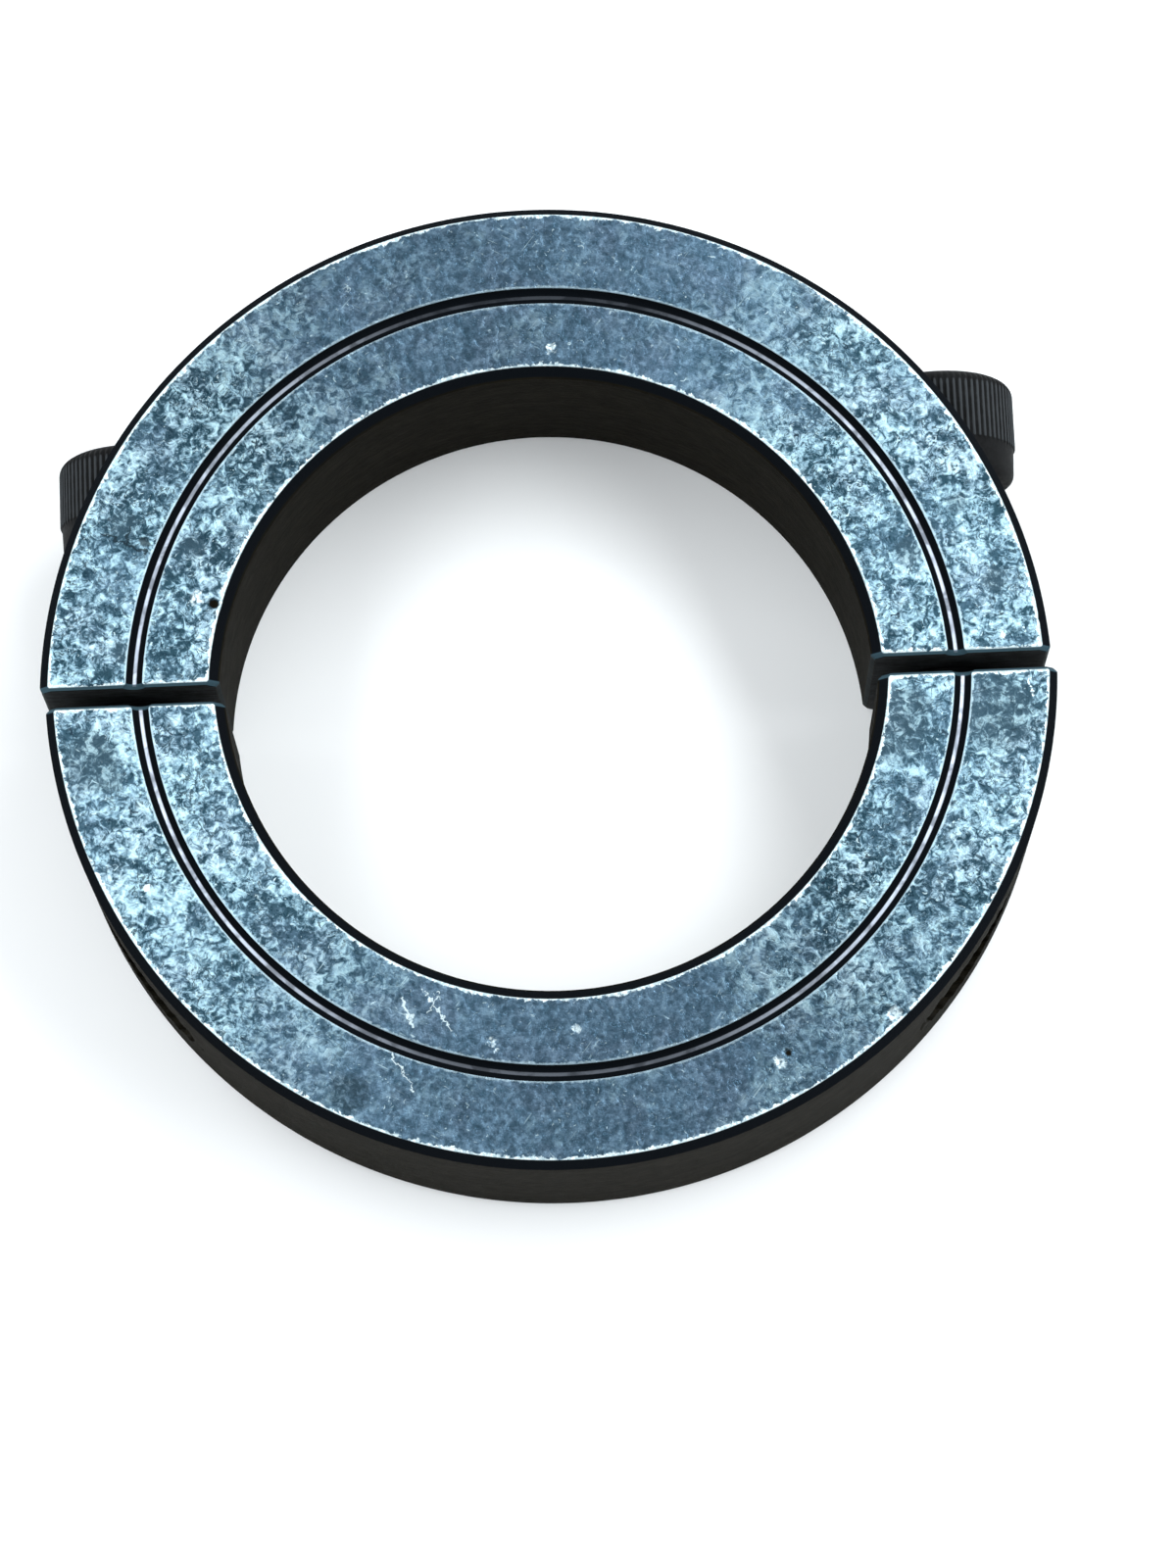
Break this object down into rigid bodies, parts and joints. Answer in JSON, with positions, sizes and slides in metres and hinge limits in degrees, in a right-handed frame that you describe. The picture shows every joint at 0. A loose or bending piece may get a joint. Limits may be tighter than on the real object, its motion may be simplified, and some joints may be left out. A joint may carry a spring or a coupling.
{
  "type": "shaft collar",
  "caption": "Two-piece clamp shaft collar: a split steel ring whose halves are drawn together round a shaft by socket head cap screws.",
  "frame": {"origin": "under the middle of the collar, on the plain face it lies on", "axes": "+Z along the bore towards the grooved face, +Y from the tapped half to the half that carries the screw heads, +X along the split"},
  "size_m": [0.0766, 0.0744, 0.0175],
  "materials": {
    "clearance_half": "worn black oxide, turned and tumbled",
    "tapped_half": "worn black oxide, turned and tumbled",
    "screws": "black oxide alloy steel with a knurled head"
  },
  "bodies": {
    "tapped_body": {"tapped_half": "tapped_half"},
    "clearance_body": {"clearance_half": "clearance_half"},
    "left_screw_body": {"left_screw": "screws"},
    "right_screw_body": {"right_screw": "screws"}
  },
  "joints": [
    {"name": "clamp_gap", "type": "slide", "parent": "tapped_body", "child": "clearance_body", "axis": [0, 1, 0], "range_m": [-0.0012, 0.008]},
    {"name": "left_screw_turn", "type": "hinge", "parent": "clearance_body", "child": "left_screw_body", "pos_m": [-0.03121, 0.012, 0.00873], "axis": [0, 1, 0], "range_deg": [-409, 2722]},
    {"name": "right_screw_turn", "type": "hinge", "parent": "clearance_body", "child": "right_screw_body", "pos_m": [0.03079, 0.012, 0.00873], "axis": [0, 1, 0], "range_deg": [-409, 2722]}
  ],
  "couplings": [
    {"joint": "left_screw_turn", "follows": "clamp_gap", "rad_per_m": 5936.9},
    {"joint": "right_screw_turn", "follows": "clamp_gap", "rad_per_m": 5936.9}
  ]
}
